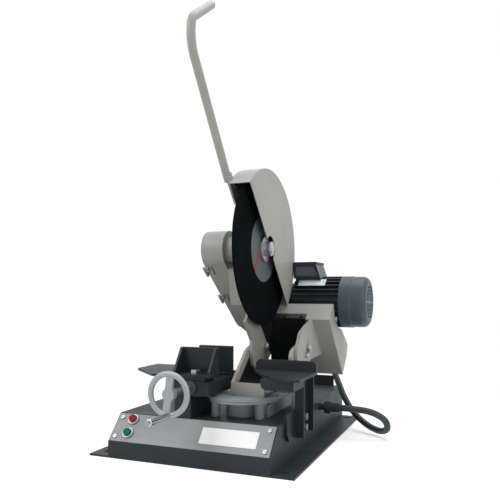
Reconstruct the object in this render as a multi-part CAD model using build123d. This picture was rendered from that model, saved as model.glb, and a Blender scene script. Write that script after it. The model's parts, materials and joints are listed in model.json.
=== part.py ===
from build123d import *
from math import asin, atan2, cos, degrees, pi, radians, sin, sqrt, tan
import os

# Frame: X to the right, Y to the back, Z up, millimetres.
# Origin: centre of the four foot slots, on the floor.

# Base cabinet
BASE_W = 420.0
BASE_X = BASE_W / 2
FRONT_Y = -340.0
REAR_Y = 340.0
DECK_Z = 100.0
LIP_Z = 40.0
SLOPE_RUN = 54.0
SHEET = 4.0
FOOT_OUT = 54.0
FOOT_T = 5.0
SLOT_IN = 21.0
SLOT_X = BASE_X + SLOT_IN
SLOT_END = 33.0
SLOT_Y = REAR_Y - SLOT_END
SLOT_W = 13.0
SLOT_L = 24.0
REAR_PLATE_IN = 27.0
REAR_PLATE_T = 6.0
REAR_PLATE_H = 32.0

# Control panel on the slope
PANEL_EDGE = 3.0
PANEL_W = BASE_W - 2 * PANEL_EDGE
PANEL_L = 76.0
PANEL_T = 2.5
BUTTON_IN = 45.0
BUTTON_X = BUTTON_IN - PANEL_W / 2
STOP_S = 62.0
START_S = 25.0
BEZEL_R = 13.5
SLEEVE_R = 11.5
BEZEL_BORE_R = 10.0
BEZEL_H = 5.0
SLEEVE_DEPTH = 12.0
BUTTON_GAP = 0.4
BUTTON_H = 4.5
BUTTON_TRAVEL = 4.0
PANEL_SCREW_IN = 13.0
PANEL_SCREW_X = PANEL_W / 2 - PANEL_SCREW_IN
PANEL_SCREW_S = 14.0
SCREW_HEAD_R = 5.0

# Turntable
SWIVEL_X = 85.0
SWIVEL_Y = -190.0
DRUM_R = 42.0
LOWER_R = 86.0
UPPER_R = 88.0
LOWER_Z0 = 138.0
LOWER_Z1 = 144.5
UPPER_Z0 = 145.0
UPPER_Z1 = 150.0
PILLAR_R = 11.0
PILLARS = [(30.0, -234.0), (141.0, -226.0), (30.0, -146.0), (141.0, -146.0)]
KING_R = 12.0
RUN_FIT = 0.05

# Pivot bracket and arm pivot
UP_T = 8.0
LEFT_UP_X = 64.0
RIGHT_UP_X = 184.0
BRACKET_T = 6.0
PIVOT_Y = -24.0
PIVOT_Z = 253.0
PIVOT_R = 8.0
CHEEK_T = 8.0
CHEEK_GAP = 0.5
BUSH_WALL = 4.0
PIVOT_NUT_T = 8.0
ARM_RAISE = 47.0

# Vice
TABLE_Z = 208.0
TABLE_T = 6.0
FENCE_Y = -160.0
BED_X0 = -54.0
BED_X1 = 40.0
BED_Y0 = -299.0
BED_Y1 = -150.0
BED_Z0 = 157.0
BED_Z1 = 190.0
SCREW_X = -7.0
SCREW_Z = 176.0
SCREW_R = 8.0
NUT_R = 12.0
SLOT_HALF = 22.0
JAW_FACE_Y = -243.0
JAW_PLATE = 6.0
JAW_LIFT = 0.2
JAW_TOP = 267.0
LUG_Y0 = -272.0
LUG_Y1 = -248.0
WHEEL_HUB_Y = -400.0
HANDWHEEL_R = 52.0
SPOKE_W = 18.0
SPOKE_T = 7.0
HUB_R = 15.0
HUB_BACK = 11.0
HUB_CAP = 2.0
CRANK_BOSS_R = 8.0
CRANK_END_R = 6.0
RIM_R = 6.5
CRANK_R = HANDWHEEL_R - RIM_R
CRANK_PIN_R = 4.0
GRIP_R = 7.5
GRIP_L = 80.0

# Arm, measured level: u to the back and v up from the pivot
SPIN_U = -231.0
SPIN_V = 138.0
WHEEL_R = 200.0
WHEEL_X = 94.0
WHEEL_T = 4.0
GUARD_GAP = 8.0
GUARD_R = WHEEL_R + GUARD_GAP
SHAFT_CLEAR = 62.75
SHAFT_SPAN = GUARD_R + SHAFT_CLEAR
MOTOR_RISE = 72.0
MOTOR_V = SPIN_V + MOTOR_RISE
MOTOR_U = SPIN_U + sqrt(SHAFT_SPAN ** 2 - MOTOR_RISE ** 2)
GUARD_X0 = 58.0
GUARD_X1 = 116.0
GUARD_T = 2.0
SPINDLE_R = 12.5
HOUSING_R = 35.0
BEARING_R = 26.0
SIDE_X0 = -8.0
SIDE_X1 = 0.0
COVER_X0 = -60.0
COVER_T = 2.0
COVER_R1 = 52.0
COVER_R2 = 80.0
LID_T = 2.0
LID_GAP = 0.5
PULLEY_R1 = 36.0
PULLEY_R2 = 46.0
BELT_X = -36.0
BELT_W = 11.0
BELT_H = 8.0
BELT_GAP = 0.5
SHAFT_R = 14.0
MOTOR_R = 74.0
MOTOR_CORE_R = 64.0
BELL_R = 55.0
BELL_X0 = 44.0
FRAME_X0 = 120.0
FRAME_X1 = 258.0
FAN_X1 = 334.0
BAND_L = 30.0
BAND_STEP = 1.5
FAN_R = MOTOR_R - BAND_STEP
FAN_ROUND = 18.0
FAN_T = 2.0
TRAY_X0 = 72.5
TRAY_X1 = 248.0
TRAY_V = 90.0
TRAY_T = 5.0
TRAY_FRONT = 52.0
TRAY_REAR = 178.0
TRAY_U0 = MOTOR_U - TRAY_FRONT
TRAY_U1 = MOTOR_U + TRAY_REAR
HANDLE_R = 10.0
HANDLE_X = GUARD_X0 - HANDLE_R
HANDLE_U = SPIN_U - GUARD_R
HANDLE_RISE = 22.0
HANDLE_V = SPIN_V + HANDLE_RISE
HANDLE_REACH = 324.0
HANDLE_SLOPE = 35.0
KNEE_U = 37.0
KNEE_V = 42.0
GRIP_BACK = 14.0
GRIP_RISE = 121.0
HANDLE_BENDS = [80.0, 34.0]
FOOT_FRONT = 11.0
FOOT_BACK = 69.0
FOOT_HALF = 12.0
FOOT_PLATE = 8.0
HANDLE_BOLT_R = 4.0
HANDLE_BOLT_IN = [19.0, 53.0]

# Flexible conduit
CONDUIT_R = 9.0
GLAND_Y = 60.0
GLAND_Z = 83.0


def box(x0, x1, y0, y1, z0, z1):
    centre = Pos((x0 + x1) / 2, (y0 + y1) / 2, (z0 + z1) / 2)
    return centre * Box(abs(x1 - x0), abs(y1 - y0), abs(z1 - z0))


def rod_x(r, x0, x1, y, z):
    return Pos((x0 + x1) / 2, y, z) * Rot(0, 90, 0) * Cylinder(r, abs(x1 - x0))


def rod_y(r, y0, y1, x, z):
    return Pos(x, (y0 + y1) / 2, z) * Rot(90, 0, 0) * Cylinder(r, abs(y1 - y0))


def rod_z(r, z0, z1, x, y):
    return Pos(x, y, (z0 + z1) / 2) * Cylinder(r, abs(z1 - z0))


def hex_x(flat, x0, x1, y, z):
    sketch = Plane.YZ.offset(x0) * Pos(y, z) * RegularPolygon(flat / 2, 6, major_radius=False)
    return extrude(sketch, x1 - x0)


def hex_z(flat, z0, z1, x, y):
    sketch = Plane.XY.offset(z0) * Pos(x, y) * RegularPolygon(flat / 2, 6, major_radius=False)
    return extrude(sketch, z1 - z0)


def hex_y(flat, y0, y1, x, z):
    sketch = Plane.XZ.offset(-y0) * Pos(x, z) * RegularPolygon(flat / 2, 6, major_radius=False)
    return extrude(sketch, y0 - y1)


def plate_x(points, x0, x1):
    face = make_face(Polyline(*[(p[0], p[1]) for p in points], close=True))
    return extrude(Plane.YZ.offset(x0) * face, x1 - x0)


def plate_z(points, z0, z1):
    face = make_face(Polyline(*[(p[0], p[1]) for p in points], close=True))
    return extrude(Plane.XY.offset(z0) * face, z1 - z0)


def hull_x(u1, v1, r1, u2, v2, r2, x0, x1):
    span = ((u2 - u1) ** 2 + (v2 - v1) ** 2) ** 0.5
    heading = atan2(v2 - v1, u2 - u1)
    lean = asin((r2 - r1) / span)
    up = heading + pi / 2 + lean
    down = heading - pi / 2 - lean
    quad = [
        (u1 + r1 * cos(up), v1 + r1 * sin(up)),
        (u2 + r2 * cos(up), v2 + r2 * sin(up)),
        (u2 + r2 * cos(down), v2 + r2 * sin(down)),
        (u1 + r1 * cos(down), v1 + r1 * sin(down)),
    ]
    body = plate_x(quad, x0, x1)
    body = body + rod_x(r1, x0, x1, u1, v1)
    body = body + rod_x(r2, x0, x1, u2, v2)
    return body


def raised(shape):
    return Pos(0, PIVOT_Y, PIVOT_Z) * Rot(-ARM_RAISE, 0, 0) * shape


def group(shapes):
    return Compound(children=list(shapes))


def round_edges(shape, edges, radius):
    try:
        return fillet(edges, radius)
    except Exception:
        return shape


os.makedirs("parts", exist_ok=True)
done = {}


def keep(name, shape):
    done[name] = shape
    export_step(shape, "parts/" + name + ".step")


# Base cabinet: one folded sheet welded between two flat side plates, open below
profile = [
    (FRONT_Y, 0),
    (FRONT_Y, LIP_Z),
    (FRONT_Y + SLOPE_RUN, DECK_Z),
    (REAR_Y, DECK_Z),
    (REAR_Y, 0),
]
SHEET_X = BASE_X - SHEET
slope_rise = DECK_Z - LIP_Z
slope_len = (SLOPE_RUN ** 2 + slope_rise ** 2) ** 0.5
lean_in = SHEET * slope_len / SLOPE_RUN
inner_top_y = FRONT_Y + SLOPE_RUN + (SHEET * slope_len - SHEET * SLOPE_RUN) / slope_rise
inner = [
    (FRONT_Y + SHEET, -1),
    (FRONT_Y + SHEET, LIP_Z + SHEET * slope_rise / SLOPE_RUN - lean_in),
    (inner_top_y, DECK_Z - SHEET),
    (REAR_Y - SHEET, DECK_Z - SHEET),
    (REAR_Y - SHEET, -1),
]
cabinet = plate_x(profile, -SHEET_X, SHEET_X) - plate_x(inner, -SHEET_X, SHEET_X)
left_side = plate_x(profile, -BASE_X, -SHEET_X)
right_side = plate_x(profile, SHEET_X, BASE_X)
slope = Plane(origin=(0, FRONT_Y, LIP_Z), x_dir=(1, 0, 0), z_dir=(0, -slope_rise, SLOPE_RUN)).location
button_s = [STOP_S, START_S]
for s in button_s:
    cabinet = cabinet - slope * Pos(BUTTON_X, s, -2) * Cylinder(SLEEVE_R + 2, 12)
screw_spots = []
for sx in (-PANEL_SCREW_X, PANEL_SCREW_X):
    for s in (PANEL_SCREW_S, PANEL_L - PANEL_SCREW_S + 4):
        screw_spots.append((sx, s))
for sx, s in screw_spots:
    cabinet = cabinet - slope * Pos(sx, s, -2) * Cylinder(2.5, 12)
POST_BOLT_Y = -125.0
POST_BOLT_Z = [66.0, 92.0]
POST_BOLT_R = 5.0
for z in POST_BOLT_Z:
    right_side = right_side - rod_x(POST_BOLT_R, SHEET_X - 1, BASE_X + 1, POST_BOLT_Y, z)
right_side = right_side - rod_x(CONDUIT_R, SHEET_X - 1, BASE_X + 1, GLAND_Y, GLAND_Z)
FOLD_R = 3.0
sheets = []
for sheet in (cabinet, left_side, right_side):
    top_edges = sheet.edges().filter_by(Axis.X).group_by(Axis.Z)[-1]
    sheets.append(round_edges(sheet, top_edges, FOLD_R))
keep("base_cabinet", group(sheets))

rails = []
for side in (-1, 1):
    rail = box(side * BASE_X, side * (BASE_X + FOOT_OUT), FRONT_Y, REAR_Y, 0, FOOT_T)
    for sy in (-SLOT_Y, SLOT_Y):
        slot = Pos(side * SLOT_X, sy, 0) * SlotOverall(SLOT_L, SLOT_W)
        rail = rail - extrude(Plane.XY.offset(-1) * slot, FOOT_T + 2)
    rails.append(rail)
keep("foot_rails", group(rails))

# Control panel, its screws and the push-button set
panel = slope * Pos(0, PANEL_L / 2 + 2, PANEL_T / 2) * Box(PANEL_W, PANEL_L, PANEL_T)
for s in button_s:
    panel = panel - slope * Pos(BUTTON_X, s, 0) * Cylinder(SLEEVE_R, 12)
for sx, s in screw_spots:
    panel = panel - slope * Pos(sx, s, 0) * Cylinder(2.5, 12)
keep("control_panel", panel)
screws = []
for sx, s in screw_spots:
    screw = slope * Pos(sx, s, PANEL_T + 1.5) * Cylinder(SCREW_HEAD_R, 3)
    screw = screw + slope * Pos(sx, s, PANEL_T - 5) * Cylinder(2.5, 10)
    screw = screw - slope * Pos(sx, s, PANEL_T + 3) * Box(12, 1.2, 2)
    screws.append(screw)
keep("panel_screws", group(screws))

sleeve_top = PANEL_T + BEZEL_H
bezels = []
blocks = []
for s in button_s:
    ring = slope * Pos(BUTTON_X, s, PANEL_T + BEZEL_H / 2) * Cylinder(BEZEL_R, BEZEL_H)
    sleeve_mid = (PANEL_T - SLEEVE_DEPTH) / 2
    ring = ring + slope * Pos(BUTTON_X, s, sleeve_mid) * Cylinder(SLEEVE_R, PANEL_T + SLEEVE_DEPTH)
    ring = ring - slope * Pos(BUTTON_X, s, 0) * Cylinder(BEZEL_BORE_R, 60)
    bezels.append(ring)
    blocks.append(slope * Pos(BUTTON_X, s, -SLEEVE_DEPTH - 18) * Box(30, 32, 36))
keep("button_bezels", group(bezels))
keep("switch_blocks", group(blocks))
BUTTON_BOTTOM = SLEEVE_DEPTH - BUTTON_TRAVEL - 1.0
for name, s in (("stop_button", STOP_S), ("start_button", START_S)):
    high = sleeve_top + BUTTON_H
    mid = (high - BUTTON_BOTTOM) / 2
    cap = slope * Pos(BUTTON_X, s, mid) * Cylinder(BEZEL_BORE_R - BUTTON_GAP, high + BUTTON_BOTTOM)
    keep(name, cap)
rear_x = BASE_X - REAR_PLATE_IN
rear_y = REAR_Y - SHEET
rear_plate = box(-rear_x, rear_x, rear_y - REAR_PLATE_T, rear_y, DECK_Z, DECK_Z + REAR_PLATE_H)
keep("rear_plate", rear_plate)

# Turntable: fixed drum, pillars and lower disc
drum = rod_z(DRUM_R, DECK_Z, LOWER_Z0, SWIVEL_X, SWIVEL_Y)
drum = drum + rod_z(LOWER_R, LOWER_Z0, LOWER_Z1, SWIVEL_X, SWIVEL_Y)
drum = drum - rod_z(KING_R + RUN_FIT, DECK_Z + 6, LOWER_Z1 + 1, SWIVEL_X, SWIVEL_Y)
keep("turntable_base", drum)
pillars = [rod_z(PILLAR_R, DECK_Z, LOWER_Z0, px, py) for px, py in PILLARS]
keep("turntable_pillars", group(pillars))
VENT_X = 153.0
vent = box(VENT_X, VENT_X + 3, -209, -27, DECK_Z, DECK_Z + 30)
vent = vent + box(VENT_X - 14, VENT_X, -120, -27, DECK_Z, DECK_Z + 3)
for i in range(4):
    cut = Pos(VENT_X + 1.5, -185 + 14 * i, DECK_Z + 16) * Rot(-25, 0, 0) * Box(8, 5, 18)
    vent = vent - cut
keep("vent_plate", vent)

# Swivelling disc with the king bolt
PLATE_Z1 = UPPER_Z1 + BRACKET_T
disc = rod_z(UPPER_R, UPPER_Z0, UPPER_Z1, SWIVEL_X, SWIVEL_Y)
disc = disc - rod_z(KING_R, UPPER_Z0 - 1, UPPER_Z1 + 1, SWIVEL_X, SWIVEL_Y)
keep("turntable_disc", disc)
king = rod_z(KING_R, DECK_Z + 10, PLATE_Z1, SWIVEL_X, SWIVEL_Y)
keep("king_bolt", king)

# Pivot bracket: base plate, front plate and two uprights, welded
BRACKET_Y0 = -221.0
BRACKET_Y1 = 45.0
RIGHT_Y0 = -138.0
bracket_outline = [
    (LEFT_UP_X, BRACKET_Y0),
    (150, BRACKET_Y0),
    (150, RIGHT_Y0),
    (RIGHT_UP_X + UP_T, RIGHT_Y0),
    (RIGHT_UP_X + UP_T, BRACKET_Y1),
    (LEFT_UP_X, BRACKET_Y1),
]
bracket = plate_z(bracket_outline, UPPER_Z1, PLATE_Z1)
bracket = bracket - rod_z(KING_R, UPPER_Z1 - 1, PLATE_Z1 + 1, SWIVEL_X, SWIVEL_Y)
bracket = bracket + box(LEFT_UP_X, 150, BRACKET_Y0, BRACKET_Y0 + 6, UPPER_Z1, 182)
left_outline = [
    (BRACKET_Y0, PLATE_Z1 - 3),
    (BRACKET_Y0, 182),
    (-136, 252),
    (-120, 258),
    (PIVOT_Y - 20, PIVOT_Z + 22),
    (PIVOT_Y + 8, PIVOT_Z + 24),
    (PIVOT_Y + 24, PIVOT_Z + 8),
    (BRACKET_Y1, PLATE_Z1 - 3),
]
right_outline = [
    (RIGHT_Y0, PLATE_Z1 - 3),
    (RIGHT_Y0, 240),
    (-130, 252),
    (-114, 259),
    (PIVOT_Y - 20, PIVOT_Z + 22),
    (PIVOT_Y + 8, PIVOT_Z + 24),
    (PIVOT_Y + 24, PIVOT_Z + 8),
    (BRACKET_Y1, PLATE_Z1 - 3),
]
bracket = bracket + plate_x(left_outline, LEFT_UP_X, LEFT_UP_X + UP_T)
bracket = bracket + plate_x(right_outline, RIGHT_UP_X, RIGHT_UP_X + UP_T)
bracket = bracket - rod_x(PIVOT_R, LEFT_UP_X - 20, RIGHT_UP_X + 40, PIVOT_Y, PIVOT_Z)
keep("pivot_bracket", bracket)
LEFT_CHEEK_X = LEFT_UP_X + UP_T + CHEEK_GAP
RIGHT_CHEEK_X = RIGHT_UP_X + UP_T + CHEEK_GAP
HEAD_FLAT = 24.0
HEAD_T = 12.0
STUB_END = 2.0
pivot_bolts = []
for up_x, cheek_x in ((LEFT_UP_X, LEFT_CHEEK_X), (RIGHT_UP_X, RIGHT_CHEEK_X)):
    nut_x0 = cheek_x + CHEEK_T + CHEEK_GAP
    nut_x1 = nut_x0 + PIVOT_NUT_T
    stub = rod_x(PIVOT_R, up_x, nut_x1 + STUB_END, PIVOT_Y, PIVOT_Z)
    stub = stub + hex_x(HEAD_FLAT, up_x - HEAD_T, up_x, PIVOT_Y, PIVOT_Z)
    stub_nut = hex_x(HEAD_FLAT, nut_x0, nut_x1, PIVOT_Y, PIVOT_Z)
    stub_nut = stub_nut - rod_x(PIVOT_R, nut_x0 - 1, nut_x1 + 1, PIVOT_Y, PIVOT_Z)
    pivot_bolts.append(stub)
    pivot_bolts.append(stub_nut)
keep("pivot_bolt", group(pivot_bolts))

# Vice bed with pedestal, screw nut and rear fence
bed = box(BED_X0, BED_X1, BED_Y0, BED_Y1, BED_Z0, BED_Z1)
bed = bed + box(BED_X0, -10, BED_Y0 + 9, BED_Y1 - 10, DECK_Z, BED_Z0)
bed = bed - box(SCREW_X - SLOT_HALF, SCREW_X + SLOT_HALF, BED_Y0 + 18, BED_Y1 - 14, BED_Z0 + 7, BED_Z1 + 1)
bed = bed - rod_y(NUT_R, BED_Y0 - 1, BED_Y0 + 19, SCREW_X, SCREW_Z)
keep("vice_bed", bed)
nut = rod_y(NUT_R, BED_Y0, BED_Y0 + 18, SCREW_X, SCREW_Z)
nut = nut + rod_y(NUT_R + 4, BED_Y0 - 6, BED_Y0, SCREW_X, SCREW_Z)
nut = nut - rod_y(SCREW_R + RUN_FIT, BED_Y0 - 10, BED_Y0 + 30, SCREW_X, SCREW_Z)
keep("screw_nut", nut)
fence = box(BED_X0, BED_X1, FENCE_Y, FENCE_Y + 10, BED_Z1, 264)
fence = fence + box(BED_X0, BED_X1, FENCE_Y - 4, FENCE_Y, BED_Z1, BED_Z1 + 6)
keep("rear_fence", round_edges(fence, fence.edges().group_by(Axis.Z)[-1], 2.0))

# Moving jaw: bent plate with side gussets and a lug in the bed slot
JAW_X0 = BED_X0 - 2
JAW_X1 = BED_X1 + 2
SLIDE_Z1 = BED_Z1 + 10
JAW_Y0 = JAW_FACE_Y - 50
jaw = box(JAW_X0, JAW_X1, JAW_Y0, JAW_FACE_Y, SLIDE_Z1, SLIDE_Z1 + JAW_PLATE)
jaw = jaw + box(JAW_X0, JAW_X1, JAW_FACE_Y - JAW_PLATE, JAW_FACE_Y, SLIDE_Z1, JAW_TOP)
gusset = [
    (JAW_Y0, SLIDE_Z1),
    (JAW_Y0, SLIDE_Z1 + 14),
    (JAW_FACE_Y - 14, JAW_TOP),
    (JAW_FACE_Y, JAW_TOP),
    (JAW_FACE_Y, SLIDE_Z1),
]
jaw = jaw + plate_x(gusset, JAW_X0, JAW_X0 + JAW_PLATE)
jaw = jaw + plate_x(gusset, JAW_X1 - JAW_PLATE, JAW_X1)
jaw = jaw + box(SCREW_X - 34, SCREW_X + 34, JAW_Y0, JAW_FACE_Y, BED_Z1 + JAW_LIFT, SLIDE_Z1)
lug = box(SCREW_X - SLOT_HALF + 1, SCREW_X + SLOT_HALF - 1, LUG_Y0, LUG_Y1, BED_Z0 + 8, BED_Z1 + 2)
jaw = jaw + lug
jaw = jaw - rod_y(SCREW_R + RUN_FIT, LUG_Y0 - 2, LUG_Y1 + 2, SCREW_X, SCREW_Z)
keep("moving_jaw", jaw)
jaw_bolt = hex_z(22, SLIDE_Z1 + JAW_PLATE, SLIDE_Z1 + JAW_PLATE + 9, SCREW_X, JAW_Y0 + 22)
keep("jaw_bolt", jaw_bolt)

# Lead screw with collar, handwheel and crank grip
hub_front = SPOKE_T / 2
bore_end = hub_front - HUB_CAP
screw = rod_y(SCREW_R, WHEEL_HUB_Y - bore_end, LUG_Y1 + 2, SCREW_X, SCREW_Z)
screw = screw + rod_y(SCREW_R + 3, LUG_Y1 + 0.4, LUG_Y1 + 6, SCREW_X, SCREW_Z)
screw = screw + rod_y(SCREW_R + 3, LUG_Y0 - 6, LUG_Y0 - 0.4, SCREW_X, SCREW_Z)
keep("lead_screw", screw)
hub = Pos(SCREW_X, WHEEL_HUB_Y, SCREW_Z) * Rot(90, 0, 0)
rim = Torus(HANDWHEEL_R - RIM_R, RIM_R)
spoke = Rot(0, 0, -7) * Box(SPOKE_W, 2 * (HANDWHEEL_R - RIM_R) - 3, SPOKE_T)
handwheel = rim + spoke
handwheel = handwheel + Pos(0, 0, (hub_front - HUB_BACK) / 2) * Cylinder(HUB_R, hub_front + HUB_BACK)
pin_spot = Pos(0, -CRANK_R, 0)
pin = Pos(0, 0, (GRIP_L + 9) / 2) * Cylinder(CRANK_PIN_R, GRIP_L + 9)
pin = pin + Pos(0, 0, 1.5) * Cylinder(CRANK_BOSS_R, 9)
pin = pin + Pos(0, 0, 5.5 + GRIP_L + 3) * Cylinder(CRANK_END_R, 4)
handwheel = handwheel + pin_spot * pin
handwheel = handwheel - Pos(0, 0, bore_end - HUB_BACK) * Cylinder(SCREW_R, 2 * HUB_BACK)
keep("handwheel", hub * handwheel)
grip = Pos(0, 0, 6 + GRIP_L / 2 - 0.5) * Cylinder(GRIP_R, GRIP_L - 2)
ends = grip.edges().filter_by(GeomType.CIRCLE)
grip = round_edges(grip, ends, 2.0)
grip = grip - Pos(0, 0, 6 + GRIP_L / 2) * Cylinder(CRANK_PIN_R + RUN_FIT, GRIP_L + 4)
keep("crank_grip", hub * pin_spot * grip)

# Left work table on a bracket beside the bed
table_pts = [(-60, -149), (-185, -149), (-185, -246), (-170, -259), (-97, -323), (-60, -323)]
left_table = plate_z(table_pts, TABLE_Z - TABLE_T, TABLE_Z)
left_table = left_table + box(-66, -60, -290, -160, BED_Z0, TABLE_Z - TABLE_T)
left_table = left_table + box(-60, BED_X0, -290, -160, BED_Z0, BED_Z1 - 4)
rib = [(-66, BED_Z0 + 6), (-66, TABLE_Z - TABLE_T), (-170, TABLE_Z - TABLE_T)]
rib_face = make_face(Polyline(*rib, close=True))
left_table = left_table + extrude(Plane.XZ.offset(205) * rib_face, 8)
keep("left_table", left_table)

# Right support: wall plate with channel post, bracket block, table and low fence
WALL_PLATE_T = 8.0
POST_D = 22.0
POST_X0 = BASE_X + WALL_PLATE_T
POST_X1 = POST_X0 + POST_D
POST_Y0 = -190.0
POST_Y1 = -102.0
POST_T = 5.0
POST_Z0 = 54.0
ARM_Z0 = 176.0
ARM_IN = 58.0
ARM_OUT = 80.0
LOW_FENCE_H = 26.0
LOW_FENCE_T = 10.0
plate_pts = [(-234, 54), (-248, 72), (-248, 120), (-100, 120), (-100, 54)]
post = plate_x(plate_pts, BASE_X, POST_X0)
post = post + box(POST_X0, POST_X0 + POST_T, POST_Y0, POST_Y1, POST_Z0, TABLE_Z - TABLE_T)
post = post + box(POST_X0, POST_X1, POST_Y0, POST_Y0 + POST_T, POST_Z0, TABLE_Z - TABLE_T)
post = post + box(POST_X0, POST_X1, POST_Y1 - POST_T, POST_Y1, POST_Z0, TABLE_Z - TABLE_T)
for z in POST_BOLT_Z:
    post = post - rod_x(POST_BOLT_R, BASE_X - 1, POST_X0 + POST_T + 1, POST_BOLT_Y, z)
keep("right_post", post)
post_bolts = []
for z in POST_BOLT_Z:
    bolt = rod_x(POST_BOLT_R, BASE_X - SHEET, POST_X0 + POST_T, POST_BOLT_Y, z)
    bolt = bolt + hex_x(17, POST_X0 + POST_T, POST_X0 + POST_T + 7, POST_BOLT_Y, z)
    post_bolts.append(bolt)
keep("post_bolts", group(post_bolts))
table_arm = box(POST_X0 - ARM_IN, POST_X1, POST_Y0 - ARM_OUT, POST_Y0, ARM_Z0, TABLE_Z - TABLE_T)
low_edge = table_arm.edges().filter_by(Axis.Y).group_by(Axis.Z)[0].sort_by(Axis.X)[0]
keep("table_arm", round_edges(table_arm, [low_edge], 14.0))
back_y = FENCE_Y + LOW_FENCE_T
right_pts = [
    (POST_X0 - 114, back_y),
    (POST_X0 - 114, FENCE_Y - 8),
    (POST_X0 - 68, FENCE_Y - 76),
    (POST_X0 - 32, FENCE_Y - 112),
    (POST_X0 + 8, FENCE_Y - 136),
    (POST_X0 + 44, FENCE_Y - 136),
    (POST_X0 + 44, back_y),
]
right_table = plate_z(right_pts, TABLE_Z - TABLE_T, TABLE_Z)
fence_x0 = POST_X0 - 112
fence_x1 = POST_X0 + 44
fence_top = TABLE_Z + LOW_FENCE_H
fence_pts = [
    (fence_x0, TABLE_Z),
    (fence_x0, fence_top - 8),
    (fence_x0 + 8, fence_top),
    (fence_x1 - 8, fence_top),
    (fence_x1, fence_top - 8),
    (fence_x1, TABLE_Z),
]
fence_face = make_face(Polyline(*fence_pts, close=True))
low_fence = extrude(Plane.XZ.offset(-FENCE_Y) * fence_face, -LOW_FENCE_T)
keep("right_table", right_table + low_fence)

# Conduit gland on the right wall
gland = rod_x(CONDUIT_R, BASE_X - SHEET, BASE_X + 18, GLAND_Y, GLAND_Z)
gland = gland + hex_x(32, BASE_X + 16, BASE_X + 32, GLAND_Y, GLAND_Z)
gland = gland + rod_x(13, BASE_X + 32, BASE_X + 37, GLAND_Y, GLAND_Z)
gland = gland + rod_x(12, BASE_X + 37, BASE_X + 58, GLAND_Y, GLAND_Z)
keep("conduit_gland", gland)

# Arm weldment: side plate, spine box and cross gusset beside the wheel
side = hull_x(SPIN_U, SPIN_V, COVER_R1, MOTOR_U, MOTOR_V, COVER_R2, SIDE_X0, SIDE_X1)
side = side - rod_x(BEARING_R, SIDE_X0 - 1, SIDE_X1 + 1, MOTOR_U, MOTOR_V)
side = side - rod_x(SPINDLE_R + 3, SIDE_X0 - 1, SIDE_X1 + 1, SPIN_U, SPIN_V)
spine_pts = [(-205, 92), (-205, 120), (20, 150), (60, 150), (60, 90), (-40, 40), (-120, 40)]
spine = plate_x(spine_pts, SIDE_X1, GUARD_X0 - 4)
spine_in = [(-190, 96), (-190, 112), (12, 140), (50, 140), (50, 96), (-40, 50), (-116, 50)]
spine = spine - plate_x(spine_in, SIDE_X1 + 6, GUARD_X0 - 10)
spine = spine - rod_x(HOUSING_R, SIDE_X1 - 1, GUARD_X0, SPIN_U, SPIN_V)
link_pts = [(-120, 40), (-100, 96), (60, 118), (60, 90), (-40, 40)]
link = plate_x(link_pts, GUARD_X0 - 4, LEFT_CHEEK_X)
keep("arm_frame", raised(side + spine + link))

# Cheeks on the pivot, with bushes
BUSH_R = PIVOT_R + BUSH_WALL
tray_under = TRAY_V - TRAY_T
left_pts = [
    (-151, -54),
    (-84, -54),
    (-62, -78),
    (-30, -92),
    (12, -80),
    (40, -30),
    (48, 20),
    (70, tray_under),
    (TRAY_U0, tray_under),
    (-100, 80),
    (-151, 40),
]
left_cheek = plate_x(left_pts, LEFT_CHEEK_X, LEFT_CHEEK_X + CHEEK_T)
left_cheek = left_cheek + rod_x(45, LEFT_CHEEK_X, LEFT_CHEEK_X + CHEEK_T, 0, 0)
left_cheek = left_cheek - rod_x(BUSH_R, LEFT_CHEEK_X - 1, LEFT_CHEEK_X + CHEEK_T + 1, 0, 0)
keep("left_cheek", raised(left_cheek))
right_pts2 = [(-49, -83), (-66, -57), (-74, -15), (-55, 29), (TRAY_U0, TRAY_V - TRAY_T)]
right_pts2 = right_pts2 + [(120, TRAY_V - TRAY_T), (45, 0), (10, -72)]
right_cheek = plate_x(right_pts2, RIGHT_CHEEK_X, RIGHT_CHEEK_X + CHEEK_T)
right_cheek = right_cheek + rod_x(45, RIGHT_CHEEK_X, RIGHT_CHEEK_X + CHEEK_T, 0, 0)
cheek_mid = RIGHT_CHEEK_X + CHEEK_T / 2
right_cheek = right_cheek - Pos(cheek_mid, -15, 18) * Rot(ARM_RAISE, 0, 0) * Box(2 * CHEEK_T, 4, 14)
right_cheek = right_cheek - rod_x(BUSH_R, RIGHT_CHEEK_X - 1, RIGHT_CHEEK_X + CHEEK_T + 1, 0, 0)
keep("right_cheek", raised(right_cheek))
bushes = []
for x in (LEFT_CHEEK_X, RIGHT_CHEEK_X):
    bush = rod_x(BUSH_R, x, x + CHEEK_T, 0, 0)
    bush = bush - rod_x(PIVOT_R + RUN_FIT, x - 1, x + CHEEK_T + 1, 0, 0)
    bushes.append(bush)
keep("cheek_bushes", raised(group(bushes)))

# Motor tray: plate, front wall and stepped right flange
TRAY_B = TRAY_V - TRAY_T
WALL_H = 62.0
tray = box(TRAY_X0, TRAY_X1, TRAY_U0, TRAY_U1, TRAY_B, TRAY_V)
tray = tray + box(TRAY_X0, TRAY_X1, TRAY_U0, TRAY_U0 + TRAY_T, TRAY_B, TRAY_B + WALL_H)
flange_pts = [
    (TRAY_U0, TRAY_B),
    (TRAY_U0, TRAY_B + WALL_H),
    (TRAY_U0 + 10, TRAY_B + WALL_H - 2),
    (TRAY_U0 + 22, TRAY_B + 54),
    (MOTOR_U, TRAY_B + 48),
    (MOTOR_U + 30, TRAY_B + 54),
    (MOTOR_U + 50, TRAY_B + 66),
    (MOTOR_U + 66, TRAY_B + 80),
    (TRAY_U0 + 161, TRAY_B + 92),
    (TRAY_U1 - 12, TRAY_B + 107),
    (TRAY_U1 - 6, TRAY_B + 81),
    (TRAY_U1, TRAY_B + 81),
    (TRAY_U1, TRAY_B),
]
tray = tray + plate_x(flange_pts, TRAY_X1 - TRAY_T, TRAY_X1)
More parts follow.
